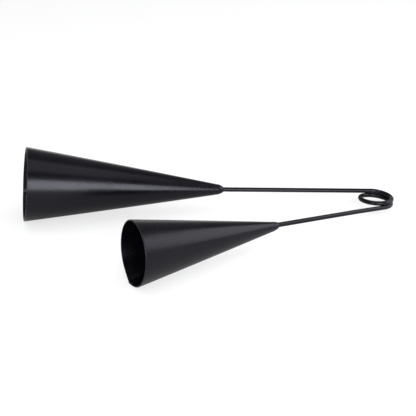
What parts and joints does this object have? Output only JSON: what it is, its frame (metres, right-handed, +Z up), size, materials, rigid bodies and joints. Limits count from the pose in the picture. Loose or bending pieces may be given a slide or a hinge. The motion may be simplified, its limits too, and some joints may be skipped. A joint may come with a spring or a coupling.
{
  "type": "agogo bell",
  "caption": "Hand percussion: a large and a small sheet cone bell on the ends of one bent bar with a spring coil, struck with a stick or squeezed together.",
  "frame": {"origin": "under the centre of the part's box, on the surface that it lies on", "axes": "+Z up, +X from the bells' mouths to the spring coil along the large bell's arm, +Y from the small bell to the large one"},
  "size_m": [0.4288, 0.2324, 0.083],
  "materials": {
    "bell_coat": "satin black powder coat on steel sheet",
    "bar_coat": "satin black powder coat on steel bar",
    "weld_coat": "satin black powder coat over a dressed weld"
  },
  "bodies": {
    "large_side": {"large_bell": "bell_coat", "large_apex_weld": "weld_coat", "large_bell_arm": "bar_coat", "spring_coil": "bar_coat"},
    "small_side": {"small_bell": "bell_coat", "small_apex_weld": "weld_coat", "small_bell_arm": "bar_coat"}
  },
  "joints": [
    {"name": "squeeze", "type": "hinge", "parent": "large_side", "child": "small_side", "pos_m": [0.19373, 0.05532, 0.00695], "axis": [-0.0711, -0.0915, -0.9933], "range_deg": [-4, 18.4], "stiffness_Nm_per_rad": 22, "deforming": ["spring_coil"]}
  ]
}
